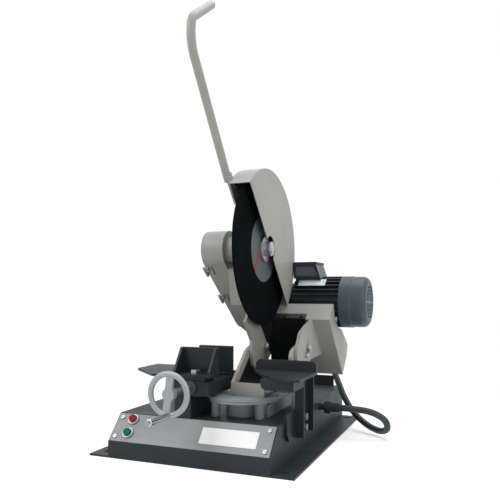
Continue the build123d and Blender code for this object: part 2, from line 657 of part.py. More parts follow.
keep("motor_tray", raised(tray))

# Motor: finned frame with feet, drive-end bell, fan cover, terminal box
frame_m = rod_x(MOTOR_CORE_R, FRAME_X0, FRAME_X1, 0, 0)
fins = 30
for i in range(fins):
    angle = 360.0 * i / fins
    fin = Rot(angle, 0, 0) * box(FRAME_X0 + 2, FRAME_X1 - 2, -1.6, 1.6, MOTOR_CORE_R - 4, MOTOR_R)
    frame_m = frame_m + fin
FEET_V = TRAY_V - MOTOR_V
for fs in (-1, 1):
    frame_m = frame_m + box(140, 225, fs * 22, fs * 46, FEET_V, FEET_V + 10)
    frame_m = frame_m + box(146, 219, fs * 28, fs * 40, FEET_V, -50)
BOX_TOP = 116.0
BOX_BASE = 68.0
BOX_X0 = 120.0
BOX_X1 = 200.0
BOX_SLOPE = 14.0
BOX_HALF = 42.0
frame_m = frame_m - Rot(ARM_RAISE, 0, 0) * box(BOX_X0, BOX_X1, -BOX_HALF, BOX_HALF, BOX_BASE, BOX_TOP)
SEAT_IN = 4.0
SEAT_LOW = 54.0
seat_half = BOX_HALF - SEAT_IN
seat = box(BOX_X0 + SEAT_IN, BOX_X1 - SEAT_IN, -seat_half, seat_half, SEAT_LOW, BOX_BASE)
frame_m = frame_m + Rot(ARM_RAISE, 0, 0) * seat
frame_m = frame_m + rod_x(FAN_R - FAN_T, FRAME_X1 - 2, FRAME_X1 + 6, 0, 0)
frame_m = frame_m - rod_x(MOTOR_CORE_R - 6, FRAME_X0 - 1, FRAME_X1 - 8, 0, 0)
frame_m = frame_m - rod_x(SHAFT_R + RUN_FIT, FRAME_X0, FRAME_X1 + 7, 0, 0)
at_motor = Pos(0, MOTOR_U, MOTOR_V)
keep("motor_frame", raised(at_motor * frame_m))
bell = rod_x(BELL_R, BELL_X0 + 14, FRAME_X0, 0, 0)
bell = bell + rod_x(40, BELL_X0, BELL_X0 + 14, 0, 0)
bell = bell + rod_x(MOTOR_CORE_R - 6, FRAME_X0, FRAME_X0 + 4, 0, 0)
bell = bell - rod_x(BELL_R - 8, BELL_X0 + 24, FRAME_X0 + 5, 0, 0)
bell = bell - rod_x(SHAFT_R + RUN_FIT, BELL_X0 - 1, FRAME_X0, 0, 0)
keep("motor_bell", raised(at_motor * bell))
cover_pts = [
    (0, FRAME_X1),
    (MOTOR_R, FRAME_X1),
    (MOTOR_R, FRAME_X1 + BAND_L),
    (FAN_R, FRAME_X1 + BAND_L + BAND_STEP),
    (FAN_R, FAN_X1),
    (0, FAN_X1),
]
cover_in = [
    (0, FRAME_X1 - 1),
    (FAN_R - FAN_T, FRAME_X1 - 1),
    (FAN_R - FAN_T, FAN_X1 - FAN_T),
    (0, FAN_X1 - FAN_T),
]


def turned(points):
    face = make_face(Polyline(*points, close=True))
    about_z = revolve(Plane.XZ * face, Axis.Z, 360)
    return Rot(0, 90, 0) * about_z


fan_outer = turned(cover_pts)
end_edge = fan_outer.edges().filter_by(GeomType.CIRCLE).group_by(Axis.X)[-1]
fan_outer = round_edges(fan_outer, end_edge, FAN_ROUND)
fan_inner = turned(cover_in)
inner_edge = fan_inner.edges().filter_by(GeomType.CIRCLE).group_by(Axis.X)[-1]
fan_inner = round_edges(fan_inner, inner_edge, FAN_ROUND - FAN_T)
fan_cover = fan_outer - fan_inner
for ring_r in (14.0, 24.0, 34.0, 44.0):
    ring = rod_x(ring_r + 3, FAN_X1 - 4, FAN_X1 + 1, 0, 0) - rod_x(ring_r - 3, FAN_X1 - 5, FAN_X1 + 2, 0, 0)
    for i in range(4):
        ring = ring - Rot(90.0 * i + 45, 0, 0) * box(FAN_X1 - 6, FAN_X1 + 3, -3, 3, 0, MOTOR_R)
    fan_cover = fan_cover - ring
keep("fan_cover", raised(at_motor * fan_cover))
upright = at_motor * Rot(ARM_RAISE, 0, 0)
LID_SHUT = BOX_TOP - 6
box_pts = [(BOX_X0, BOX_BASE), (BOX_X1, BOX_BASE), (BOX_X1 - BOX_SLOPE, LID_SHUT), (BOX_X0, LID_SHUT)]
box_face = make_face(Polyline(*box_pts, close=True))
term = extrude(Plane.XZ.offset(BOX_HALF) * box_face, -2 * BOX_HALF)
room_x1 = BOX_X1 - BOX_SLOPE - 4
term = term - box(BOX_X0 + 4, room_x1, 4 - BOX_HALF, BOX_HALF - 4, BOX_BASE + 4, LID_SHUT + 1)
BOX_GLAND_X = 162.0
BOX_GLAND_Z = 88.0
term = term + rod_y(13, BOX_HALF, BOX_HALF + 10, BOX_GLAND_X, BOX_GLAND_Z)
term = term + rod_y(12, BOX_HALF + 10, BOX_HALF + 24, BOX_GLAND_X, BOX_GLAND_Z)
keep("terminal_box", raised(upright * term))
lid_half = BOX_HALF + 2
term_lid = box(BOX_X0 - 2, BOX_X1 - BOX_SLOPE + 2, -lid_half, lid_half, LID_SHUT, BOX_TOP)
term_lid = round_edges(term_lid, term_lid.edges().group_by(Axis.Z)[-1], 3.0)
keep("terminal_lid", raised(upright * term_lid))
rotor = rod_x(SHAFT_R, BELT_X - 16, FRAME_X1 + 50, 0, 0) + rod_x(48, 150, 230, 0, 0)
keep("motor_rotor", raised(at_motor * rotor))
fan = rod_x(24, FRAME_X1 + 14, FRAME_X1 + 44, 0, 0)
fan = fan + rod_x(58, FRAME_X1 + 14, FRAME_X1 + 18, 0, 0)
for i in range(6):
    fan = fan + Rot(60.0 * i, 0, 0) * box(FRAME_X1 + 16, FRAME_X1 + 42, -1.5, 1.5, 15, 56)
fan = fan - rod_x(SHAFT_R, FRAME_X1, FRAME_X1 + 60, 0, 0)
keep("cooling_fan", raised(at_motor * fan))

# Spindle housing, bearings and the wheel train
housing = rod_x(HOUSING_R, SIDE_X1, GUARD_X0, SPIN_U, SPIN_V)
housing = housing + rod_x(50, GUARD_X0 - 4, GUARD_X0, SPIN_U, SPIN_V)
housing = housing - rod_x(BEARING_R, SIDE_X1 - 1, GUARD_X0 + 1, SPIN_U, SPIN_V)
keep("spindle_housing", raised(housing))
bearings = []
bearing_spots = [
    (SIDE_X1 + 2, SPIN_U, SPIN_V, SPINDLE_R),
    (GUARD_X0 - 18, SPIN_U, SPIN_V, SPINDLE_R),
    (SIDE_X0 - 4, MOTOR_U, MOTOR_V, SHAFT_R),
]
for bx, bu, bv, br in bearing_spots:
    bearing = rod_x(BEARING_R, bx, bx + 15, bu, bv)
    bearing = bearing - rod_x(br + RUN_FIT, bx - 1, bx + 16, bu, bv)
    bearings.append(bearing)
keep("shaft_bearings", raised(group(bearings)))
FLANGE_R = 33.0
WX0 = WHEEL_X - WHEEL_T / 2
WX1 = WHEEL_X + WHEEL_T / 2
spindle = rod_x(SPINDLE_R, BELT_X - 16, WX1 + 26, SPIN_U, SPIN_V)
spindle = spindle + rod_x(18, GUARD_X0 - 2.5, WX0 - 8, SPIN_U, SPIN_V)
keep("spindle_shaft", raised(spindle))
flanges = []
for fx in (WX0 - 8, WX1):
    flange = rod_x(FLANGE_R, fx, fx + 8, SPIN_U, SPIN_V)
    flange = flange - rod_x(SPINDLE_R, fx - 1, fx + 9, SPIN_U, SPIN_V)
    flanges.append(flange)
keep("wheel_flanges", raised(group(flanges)))
spin_nut = hex_x(36, WX1 + 8, WX1 + 24, SPIN_U, SPIN_V)
spin_nut = spin_nut - rod_x(SPINDLE_R, WX1 + 7, WX1 + 25, SPIN_U, SPIN_V)
keep("spindle_nut", raised(spin_nut))
wheel = rod_x(WHEEL_R, WX0, WX1, SPIN_U, SPIN_V)
wheel = wheel - rod_x(SPINDLE_R, WX0 - 1, WX1 + 1, SPIN_U, SPIN_V)
keep("cutoff_wheel", raised(wheel))


def pulley(pitch_r, bore_r, u, v):
    body = rod_x(pitch_r + BELT_H / 2, BELT_X - 10, BELT_X + 10, u, v)
    groove = rod_x(pitch_r + BELT_H, BELT_X - BELT_W / 2 - BELT_GAP, BELT_X + BELT_W / 2 + BELT_GAP, u, v)
    core = rod_x(pitch_r - BELT_H / 2 - BELT_GAP, BELT_X - 9, BELT_X + 9, u, v)
    body = body - (groove - core)
    return body - rod_x(bore_r, BELT_X - 12, BELT_X + 12, u, v)


keep("spindle_pulley", raised(pulley(PULLEY_R1, SPINDLE_R, SPIN_U, SPIN_V)))
keep("motor_pulley", raised(pulley(PULLEY_R2, SHAFT_R, MOTOR_U, MOTOR_V)))
half_h = BELT_H / 2
BX0 = BELT_X - BELT_W / 2
BX1 = BELT_X + BELT_W / 2
belt = hull_x(SPIN_U, SPIN_V, PULLEY_R1 + half_h, MOTOR_U, MOTOR_V, PULLEY_R2 + half_h, BX0, BX1)
inner_r1 = PULLEY_R1 - half_h
inner_r2 = PULLEY_R2 - half_h
belt = belt - hull_x(SPIN_U, SPIN_V, inner_r1, MOTOR_U, MOTOR_V, inner_r2, BX0 - 1, BX1 + 1)
keep("v_belt", raised(belt))

# Belt cover: rim band on the side plate and a hinged lid
band = hull_x(SPIN_U, SPIN_V, COVER_R1, MOTOR_U, MOTOR_V, COVER_R2, COVER_X0, SIDE_X0)
inner_1 = COVER_R1 - COVER_T
inner_2 = COVER_R2 - COVER_T
band = band - hull_x(SPIN_U, SPIN_V, inner_1, MOTOR_U, MOTOR_V, inner_2, COVER_X0 - 1, SIDE_X0 + 1)
cover_span = ((MOTOR_U - SPIN_U) ** 2 + (MOTOR_V - SPIN_V) ** 2) ** 0.5
cover_dir = degrees(atan2(MOTOR_V - SPIN_V, MOTOR_U - SPIN_U))
low_dir = cover_dir - degrees(asin((COVER_R2 - COVER_R1) / cover_span))
low_out = radians(low_dir - 90)
LOW_U = SPIN_U + COVER_R1 * cos(low_out)
LOW_V = SPIN_V + COVER_R1 * sin(low_out)
LID_X1 = COVER_X0 - LID_GAP
LID_X0 = LID_X1 - LID_T
KNUCKLE_R = 4.0
HINGE_X = LID_X0 - 1.5
low_frame = Pos(0, LOW_U, LOW_V) * Rot(low_dir, 0, 0)
HINGE_DROP = -6.0
HINGE_AT = [4.0, 126.0]
HINGE_L = 34.0
for h in HINGE_AT:
    band = band + low_frame * box(COVER_X0, COVER_X0 + 16, h, h + HINGE_L, -3, 0.6)
    strap = box(HINGE_X, COVER_X0 + 8, h, h + HINGE_L / 2 - 0.5, HINGE_DROP - 1.5, HINGE_DROP + 1.5)
    riser = box(COVER_X0 + 4, COVER_X0 + 8, h, h + HINGE_L / 2 - 0.5, HINGE_DROP - 1.5, 0)
    knuckle = Pos(HINGE_X, h + HINGE_L / 4 - 0.25, HINGE_DROP) * Rot(90, 0, 0)
    knuckle = knuckle * Cylinder(KNUCKLE_R, HINGE_L / 2 - 0.5)
    band = band + low_frame * (strap + riser + knuckle)
    pin = Pos(HINGE_X, h + HINGE_L / 2, HINGE_DROP) * Rot(90, 0, 0) * Cylinder(1.5, HINGE_L)
    band = band + low_frame * pin
keep("belt_cover", raised(band))
lid = hull_x(SPIN_U, SPIN_V, COVER_R1, MOTOR_U, MOTOR_V, COVER_R2, LID_X0, LID_X1)
for h in HINGE_AT:
    y0 = h + HINGE_L / 2 + 0.5
    y1 = h + HINGE_L
    leaf = box(LID_X0 - 2.0, LID_X0, y0, y1, HINGE_DROP + 1, 14)
    knuckle = Pos(HINGE_X, (y0 + y1) / 2, HINGE_DROP) * Rot(90, 0, 0) * Cylinder(KNUCKLE_R, y1 - y0)
    part_lid = leaf + knuckle
    bore = Pos(HINGE_X, (y0 + y1) / 2, HINGE_DROP) * Rot(90, 0, 0) * Cylinder(1.5 + RUN_FIT, y1 - y0 + 2)
    lid = lid + low_frame * (part_lid - bore)
keep("belt_lid", raised(lid))

# Wheel guard: half box above the level line of the spindle
guard = rod_x(GUARD_R, GUARD_X0, GUARD_X1, SPIN_U, SPIN_V)
guard = guard - rod_x(GUARD_R - GUARD_T, GUARD_X0 + GUARD_T, GUARD_X1 - GUARD_T, SPIN_U, SPIN_V)
below = 1.5 * GUARD_R
guard = guard - box(GUARD_X0 - 1, GUARD_X1 + 1, SPIN_U - below, SPIN_U + below, SPIN_V - below, SPIN_V)
guard = guard + rod_x(50, GUARD_X0, GUARD_X0 + GUARD_T, SPIN_U, SPIN_V)
guard = guard - rod_x(30, GUARD_X0 - 1, GUARD_X0 + GUARD_T + 1, SPIN_U, SPIN_V)
guard = guard - rod_x(34, GUARD_X1 - GUARD_T - 1, GUARD_X1 + 1, SPIN_U, SPIN_V)
HANDLE_BOLT_U = [HANDLE_U + b for b in HANDLE_BOLT_IN]
for hu in HANDLE_BOLT_U:
    guard = guard - rod_x(HANDLE_BOLT_R, GUARD_X0 - 1, GUARD_X0 + GUARD_T + 1, hu, HANDLE_V)
keep("wheel_guard", raised(guard))

# Handle: bent tube with a flattened foot bolted to the guard
KNEE_AT_U = HANDLE_U - HANDLE_REACH - KNEE_U
KNEE_AT_V = HANDLE_V + HANDLE_SLOPE + KNEE_V
handle_path = [
    (HANDLE_X, HANDLE_U + 7, HANDLE_V),
    (HANDLE_X, HANDLE_U - HANDLE_REACH, HANDLE_V + HANDLE_SLOPE),
    (HANDLE_X, KNEE_AT_U, KNEE_AT_V),
    (HANDLE_X, KNEE_AT_U + GRIP_BACK, KNEE_AT_V + GRIP_RISE),
]
handle_line = FilletPolyline(*handle_path, radius=HANDLE_BENDS)
start = Plane(origin=handle_line @ 0, z_dir=handle_line % 0)
handle = sweep(start * Circle(HANDLE_R), handle_line)
foot_u0 = HANDLE_U - FOOT_FRONT
foot_u1 = HANDLE_U + FOOT_BACK
foot_x0 = GUARD_X0 - FOOT_PLATE
handle = handle + box(foot_x0, GUARD_X0, foot_u0, foot_u1, HANDLE_V - FOOT_HALF, HANDLE_V + FOOT_HALF)
for hu in HANDLE_BOLT_U:
    handle = handle - rod_x(HANDLE_BOLT_R, GUARD_X0 - 3 * HANDLE_R, GUARD_X0 + 1, hu, HANDLE_V)
keep("handle", raised(handle))
handle_bolts = []
for hu in HANDLE_BOLT_U:
    bolt = rod_x(HANDLE_BOLT_R, foot_x0, GUARD_X0 + GUARD_T, hu, HANDLE_V)
    bolt = bolt + hex_x(13, GUARD_X0 + GUARD_T, GUARD_X0 + GUARD_T + 5, hu, HANDLE_V)
    handle_bolts.append(bolt)
stud_x = RIGHT_CHEEK_X + CHEEK_T
handle_bolts.append(hex_x(13, stud_x, stud_x + 8, -1, -26))
handle_bolts.append(hex_x(13, TRAY_X1, TRAY_X1 + 8, TRAY_U0 + 38, TRAY_B + 40))
keep("arm_bolts", raised(group(handle_bolts)))

# Rubber spark flap below the wheel, hung from a strip on the front of the tray wall
FLAP_X0 = LEFT_CHEEK_X + CHEEK_T
FLAP_X1 = RIGHT_UP_X - 4
STRIP_T = 4.0
STRIP_H = 18.0
FLAP_T = 3.0
FLAP_L = 168.0
strip_top = TRAY_B + STRIP_H
hang_u = TRAY_U0 - STRIP_T
strip = box(FLAP_X0, FLAP_X1, hang_u, TRAY_U0, TRAY_B, strip_top)
for bx in (FLAP_X1 - 60, FLAP_X1 - 12):
    strip = strip + hex_y(10, hang_u - 4, hang_u, bx, strip_top - 8)
keep("flap_strip", raised(strip))
drop_u = FLAP_L * sin(radians(ARM_RAISE))
drop_v = FLAP_L * cos(radians(ARM_RAISE))
flap_pts = [
    (hang_u, TRAY_B),
    (hang_u + drop_u, TRAY_B - drop_v),
    (hang_u + drop_u + FLAP_T, TRAY_B - drop_v),
    (hang_u + STRIP_T, TRAY_B),
]
flap = plate_x(flap_pts, FLAP_X0, FLAP_X1)
WING_V = 15.0
WING_U = -96.0
wing_back = hang_u + (TRAY_B - WING_V) * tan(radians(ARM_RAISE))
wing_pts = [(WING_U, WING_V), (wing_back, WING_V), (hang_u, TRAY_B), (WING_U, TRAY_B - 8)]
keep("spark_flap", raised(flap + plate_x(wing_pts, FLAP_X0, FLAP_X0 + FLAP_T)))

# Conduit in two lengths, laid along bent centre lines
gland_out = BASE_X + 58
box_mid_y = PIVOT_Y + MOTOR_U * cos(radians(ARM_RAISE)) + MOTOR_V * sin(radians(ARM_RAISE))
box_mid_z = PIVOT_Z - MOTOR_U * sin(radians(ARM_RAISE)) + MOTOR_V * cos(radians(ARM_RAISE))
box_out_y = box_mid_y + BOX_HALF + 24
box_out_z = box_mid_z + BOX_GLAND_Z
lower_path = [
    (gland_out, GLAND_Y, GLAND_Z),
    (gland_out + 42, GLAND_Y, GLAND_Z),
    (358, 62, 78),
    (392, 74, 56),
    (394, 92, 26),
    (366, 116, 14),
    (322, 148, 24),
    (278, 176, 52),
    (246, 208, 88),
    (222, 238, 124),
]
upper_path = [
    (222, 238, 124),
    (198, 268, 160),
    (186, 288, 204),
    (180, 300, 258),
    (170, 305, 316),
    (BOX_GLAND_X, 305, 376),
    (BOX_GLAND_X, 300, 430),
    (BOX_GLAND_X, box_out_y + 44, box_out_z),
    (BOX_GLAND_X, box_out_y, box_out_z),
]


def laid(points):
    radii = []
    for i in range(1, len(points) - 1):
        a = Vector(*points[i]) - Vector(*points[i - 1])
        b = Vector(*points[i + 1]) - Vector(*points[i])
        turn = radians(a.get_angle(b))
        reach = 0.45 * min(a.length, b.length) / tan(turn / 2)
        radii.append(min(reach, 300.0))
    line = FilletPolyline(*points, radius=radii)
    face = Plane(origin=line @ 0, z_dir=line % 0) * Circle(CONDUIT_R)
    return sweep(face, line)


keep("conduit_lower", laid(lower_path))
keep("conduit_upper", laid(upper_path))
print("nodes", len(done))
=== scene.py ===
import json
from math import cos, pi, radians, sin

import bpy
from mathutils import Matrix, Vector


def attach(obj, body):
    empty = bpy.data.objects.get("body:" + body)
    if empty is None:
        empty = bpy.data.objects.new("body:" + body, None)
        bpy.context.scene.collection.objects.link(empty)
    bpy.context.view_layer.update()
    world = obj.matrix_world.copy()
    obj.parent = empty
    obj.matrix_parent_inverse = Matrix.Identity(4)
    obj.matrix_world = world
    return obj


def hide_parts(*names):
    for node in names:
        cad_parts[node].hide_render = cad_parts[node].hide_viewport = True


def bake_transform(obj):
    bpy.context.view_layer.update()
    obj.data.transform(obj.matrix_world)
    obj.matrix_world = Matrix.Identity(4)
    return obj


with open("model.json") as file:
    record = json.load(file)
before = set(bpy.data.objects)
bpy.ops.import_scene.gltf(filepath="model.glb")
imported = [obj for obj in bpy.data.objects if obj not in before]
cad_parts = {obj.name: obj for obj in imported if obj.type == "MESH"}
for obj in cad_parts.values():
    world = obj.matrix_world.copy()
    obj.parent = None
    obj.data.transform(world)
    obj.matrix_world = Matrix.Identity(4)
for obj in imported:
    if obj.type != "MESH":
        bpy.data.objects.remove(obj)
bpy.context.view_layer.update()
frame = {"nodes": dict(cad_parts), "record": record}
nodes = frame["nodes"]
record = frame["record"]
scene = bpy.context.scene

# Camera fitted to the edges of the base, in metres and degrees
CAMERA_AT = (0.6427, -1.529, 0.400)
CAMERA_TURN = 22.0
CAMERA_LENS = 42.12
CAMERA_SENSOR = 36.0
CAMERA_SHIFT_Y = 0.086

# Light: strength of the fill, and each lamp's place, target, power and size
WHITE = (1.0, 1.0, 1.0, 1.0)
FILL = 0.42
LAMPS = {
    "key": ((-1.6, -2.2, 2.6), (0.0, -0.1, 0.4), 46.0, 1.6),
    "top": ((0.4, 0.4, 3.0), (0.0, 0.0, 0.3), 44.0, 2.2),
    "right": ((2.4, -0.8, 1.4), (0.1, 0.0, 0.3), 16.0, 1.4),
}

# Floor: lit colour, how much it is lifted where it is seen, and where it fades to plain white
FLOOR_SIZE = 40.0
FLOOR_COLOUR = (0.85, 0.85, 0.85, 1.0)
FLOOR_ROUGH = 0.95
FLOOR_GLOSS = 0.1
FLOOR_LIFT = 0.42
FLOOR_FADE = (0.5, 1.2)

# Finishes: rounding of edges, wear on them, the middle range of a noise, and a colour Mix node's sockets
ROUND_R = 0.0012
ROUND_SAMPLES = 4
WEAR_TURN = (0.99, 0.88)
WEAR_SCALE = 60.0
WEAR_PATCH = (0.45, 0.62)
NOISE_MID = (0.3, 0.7)
MIX_FACTOR = 0
MIX_UNDER = 6
MIX_OVER = 7
MIX_RESULT = 2

# Arm: pivot line, tilt at rest, and the two shafts measured level from the pivot
PIVOT = Vector((0.0, -0.024, 0.253))
ARM_RAISE = radians(47.0)
SPINDLE_LEVEL = (-0.231, 0.138)
MOTOR_LEVEL = (0.030, 0.210)
MOTOR_R = 0.074

# Paper label on the wheel's right face, with one slanted stripe beside the centre
WHEEL_FACE_X = 0.096
FLANGE_R = 0.033
LABEL_R = 0.087
LABEL_T = 0.0003
LABEL_STEPS = 96
STRIPE_SLANT = Vector((0.0, -0.76, 0.65))
STRIPE_AT = 0.014
STRIPE_HALF = 0.009
STRIPE_EDGE = 0.0005

# Painted shade on the inside of the left upright: its plane, and its border behind the sloped front edge
# in Y and Z
UPRIGHT_INSIDE_X = 0.072
SHADE_FULL = 0.0005
SHADE_REACH = 0.0015
SHADE_BORDER = (0.018, 0.026)
EDGE_FOOT = Vector((-0.221, 0.182))
EDGE_HEAD = Vector((-0.136, 0.252))

# Bare plate on the motor's fins: ends along X, and degrees above level on the front side
PLATE_X = (0.137, 0.217)
PLATE_ARC = (39.0, 61.0)
PLATE_T = 0.0008
PLATE_STEPS = 8
RIVET_R = 0.0022
RIVET_H = 0.0012
RIVET_IN = 0.006

# Raised border round the terminal box's front
BOX_FRONT_Y = 0.10804
BOX_FOOT_Z = 0.44228
BOX_HEAD_Z = 0.48428
BOX_LEFT_X = 0.120
BOX_FOOT_RIGHT_X = 0.200
BOX_HEAD_RIGHT_X = 0.186
BORDER_W = 0.007
BORDER_T = 0.0022

# Bare plate on the control panel: across X, and up the slope from the front lip
PANEL_PLATE_X = (0.030, 0.171)
PANEL_PLATE_S = (0.018, 0.060)
PANEL_PLATE_T = 0.0008
PANEL_T = 0.0025
SLOPE_FOOT = Vector((0.0, -0.340, 0.040))
SLOPE_UP = Vector((0.0, 0.054, 0.060)).normalized()
SLOPE_OUT = Vector((0.0, -0.060, 0.054)).normalized()

# Conduit: the CAD route's points, the height where the two pieces meet, and how finely they are drawn
CONDUIT_R = 0.009
CUT_Z = 0.231
CONDUIT_STEPS = 32
CONDUIT_BEVEL = 6
LOWER_PATH = [
    (0.268, 0.060, 0.083),
    (0.310, 0.060, 0.083),
    (0.358, 0.062, 0.078),
    (0.392, 0.074, 0.056),
    (0.394, 0.092, 0.026),
    (0.366, 0.116, 0.014),
    (0.322, 0.148, 0.024),
    (0.278, 0.176, 0.052),
    (0.246, 0.208, 0.088),
    (0.222, 0.238, 0.124),
]
UPPER_PATH = [
    (0.222, 0.238, 0.124),
    (0.198, 0.268, 0.160),
    (0.186, 0.288, 0.204),
    (0.180, 0.300, 0.258),
    (0.170, 0.305, 0.316),
    (0.162, 0.305, 0.376),
    (0.162, 0.300, 0.430),
    (0.162, 0.26004, 0.46228),
    (0.162, 0.21604, 0.46228),
]


def level(u, v, x):
    """A point measured level from the pivot, where it lies with the arm raised."""
    y = PIVOT.y + u * cos(ARM_RAISE) + v * sin(ARM_RAISE)
    z = PIVOT.z - u * sin(ARM_RAISE) + v * cos(ARM_RAISE)
    return Vector((x, y, z))


def linear(r, g, b):
    """An sRGB colour of 0 to 255 as linear light."""
    values = []
    for c in (r, g, b):
        c = c / 255.0
        values.append(c / 12.92 if c <= 0.04045 else ((c + 0.055) / 1.055) ** 2.4)
    return (values[0], values[1], values[2], 1.0)


class Surface:
    """A procedural finish: mottled colour, rough patches, rounded and worn edges, fine relief."""

    def __init__(self, name, colour, rough, metal=0.0, gloss=0.5):
        self.material = bpy.data.materials.new(name)
        self.material.use_nodes = True
        self.tree = self.material.node_tree
        self.shader = self.tree.nodes["Principled BSDF"]
        self.shader.inputs["Metallic"].default_value = metal
        self.shader.inputs["Specular IOR Level"].default_value = gloss
        self.place = self.add("ShaderNodeTexCoord")
        self.rough = rough
        colour_node = self.add("ShaderNodeRGB")
        colour_node.outputs[0].default_value = colour
        self.colour = colour_node.outputs[0]
        rounded = self.add("ShaderNodeBevel")
        rounded.samples = ROUND_SAMPLES
        rounded.inputs["Radius"].default_value = ROUND_R
        self.rounded = rounded
        self.normal = rounded.outputs["Normal"]

    def add(self, kind):
        return self.tree.nodes.new(kind)

    def link(self, out, into):
        self.tree.links.new(out, into)

    def noise(self, scale, detail=5.0, stretch=(1.0, 1.0, 1.0)):
        mapping = self.add("ShaderNodeMapping")
        mapping.inputs["Scale"].default_value = stretch
        self.link(self.place.outputs["Object"], mapping.inputs["Vector"])
        node = self.add("ShaderNodeTexNoise")
        node.inputs["Scale"].default_value = scale
        node.inputs["Detail"].default_value = detail
        self.link(mapping.outputs["Vector"], node.inputs["Vector"])
        return node.outputs["Fac"]

    def span(self, value, low, high, to_low=0.0, to_high=1.0):
        node = self.add("ShaderNodeMapRange")
        node.inputs["From Min"].default_value = low
        node.inputs["From Max"].default_value = high
        node.inputs["To Min"].default_value = to_low
        node.inputs["To Max"].default_value = to_high
        self.link(value, node.inputs["Value"])
        return node.outputs["Result"]

    def times(self, a, b):
        node = self.add("ShaderNodeMath")
        node.operation = "MULTIPLY"
        self.link(a, node.inputs[0])
        self.link(b, node.inputs[1])
        return node.outputs["Value"]

    def paint_over(self, mask, colour):
        mix = self.add("ShaderNodeMix")
        mix.data_type = "RGBA"
        self.link(mask, mix.inputs[MIX_FACTOR])
        self.link(self.colour, mix.inputs[MIX_UNDER])
        mix.inputs[MIX_OVER].default_value = colour
        self.colour = mix.outputs[MIX_RESULT]

    def mottle(self, amount, scale, stretch=(1.0, 1.0, 1.0)):
        noise = self.noise(scale, detail=6.0, stretch=stretch)
        fac = self.span(noise, *NOISE_MID, 1.0 - amount, 1.0 + amount)
        tint = self.add("ShaderNodeVectorMath")
        tint.operation = "SCALE"
        self.link(self.colour, tint.inputs[0])
        self.link(fac, tint.inputs["Scale"])
        self.colour = tint.outputs["Vector"]

    def worn_edges(self, colour, strength):
        flat = self.add("ShaderNodeNewGeometry")
        dot = self.add("ShaderNodeVectorMath")
        dot.operation = "DOT_PRODUCT"
        self.link(self.rounded.outputs["Normal"], dot.inputs[0])
        self.link(flat.outputs["Normal"], dot.inputs[1])
        edge = self.span(dot.outputs["Value"], *WEAR_TURN)
        patch = self.span(self.noise(WEAR_SCALE, detail=4.0), *WEAR_PATCH, 0.0, strength)
        self.paint_over(self.times(edge, patch), colour)

    def relief(self, strength, scale, stretch=(1.0, 1.0, 1.0), depth=0.0008):
        bump = self.add("ShaderNodeBump")
        bump.inputs["Strength"].default_value = strength
        bump.inputs["Distance"].default_value = depth
        self.link(self.noise(scale, detail=3.0, stretch=stretch), bump.inputs["Height"])
        self.link(self.normal, bump.inputs["Normal"])
        self.normal = bump.outputs["Normal"]

    def done(self, rough_spread=0.12, rough_scale=14.0):
        low = self.rough * (1.0 - rough_spread)
        high = self.rough * (1.0 + rough_spread)
        patches = self.span(self.noise(rough_scale), *NOISE_MID, low, high)
        self.link(patches, self.shader.inputs["Roughness"])
        self.link(self.colour, self.shader.inputs["Base Color"])
        self.link(self.normal, self.shader.inputs["Normal"])
        return self.material


BARE_STEEL = linear(150, 152, 153)
DUST = linear(120, 116, 108)


def paint(name, colour, rough, worn=0.5, mottle=0.06, gloss=0.3):
    made = Surface(name, colour, rough, gloss=gloss)
    made.mottle(amount=mottle, scale=9.0)
    made.mottle(amount=mottle * 0.5, scale=160.0)
    made.worn_edges(BARE_STEEL, worn)
    made.relief(strength=0.10, scale=420.0)
    return made


def metal(name, colour, rough, shine=1.0, spread=0.08):
    made = Surface(name, colour, rough, metal=shine)
    made.mottle(amount=spread, scale=40.0)
    made.relief(strength=0.06, scale=900.0)
    return made


def plastic(name, colour, rough, gloss=0.5):
    made = Surface(name, colour, rough, gloss=gloss)
    made.mottle(amount=0.04, scale=30.0)
    made.relief(strength=0.12, scale=1100.0)
    return made


def brushed_panel():
    made = Surface("brushed panel", linear(136, 139, 140), rough=0.5, metal=0.2)
    made.mottle(amount=0.05, scale=26.0, stretch=(0.05, 6.0, 6.0))
    made.mottle(amount=0.04, scale=3.0)
    made.relief(strength=0.10, scale=60.0, stretch=(0.06, 12.0, 12.0))
    return made.done()


def abrasive_disc():
    made = Surface("abrasive", linear(10, 15, 15), rough=0.95, gloss=0.04)
    made.mottle(amount=0.20, scale=900.0)
    grit = made.span(made.noise(scale=1500.0, detail=2.0), low=0.66, high=0.74, to_high=0.15)
    made.paint_over(grit, linear(40, 45, 45))
    made.relief(strength=0.55, scale=1300.0)
    return made.done()


# Near-black rubber of the spark flap: a real sheet, which also covers where the inside of the arm is only
# in shade, so part of its black is painted shade. The lighter patches are real dust.
def rubber_and_shade_sheet():
    made = Surface("rubber", linear(8, 13, 13), rough=0.8, gloss=0.15)
    made.mottle(amount=0.12, scale=20.0)
    dusty = made.span(made.noise(scale=7.0, detail=6.0), low=0.52, high=0.75, to_high=0.06)
    made.paint_over(dusty, DUST)
    made.relief(strength=0.2, scale=500.0)
    return made.done()


def conduit_sheath():
    made = Surface("conduit sheath", linear(30, 44, 50), rough=0.42)
    made.mottle(amount=0.06, scale=60.0)
    made.relief(strength=0.15, scale=700.0)
    return made.done()


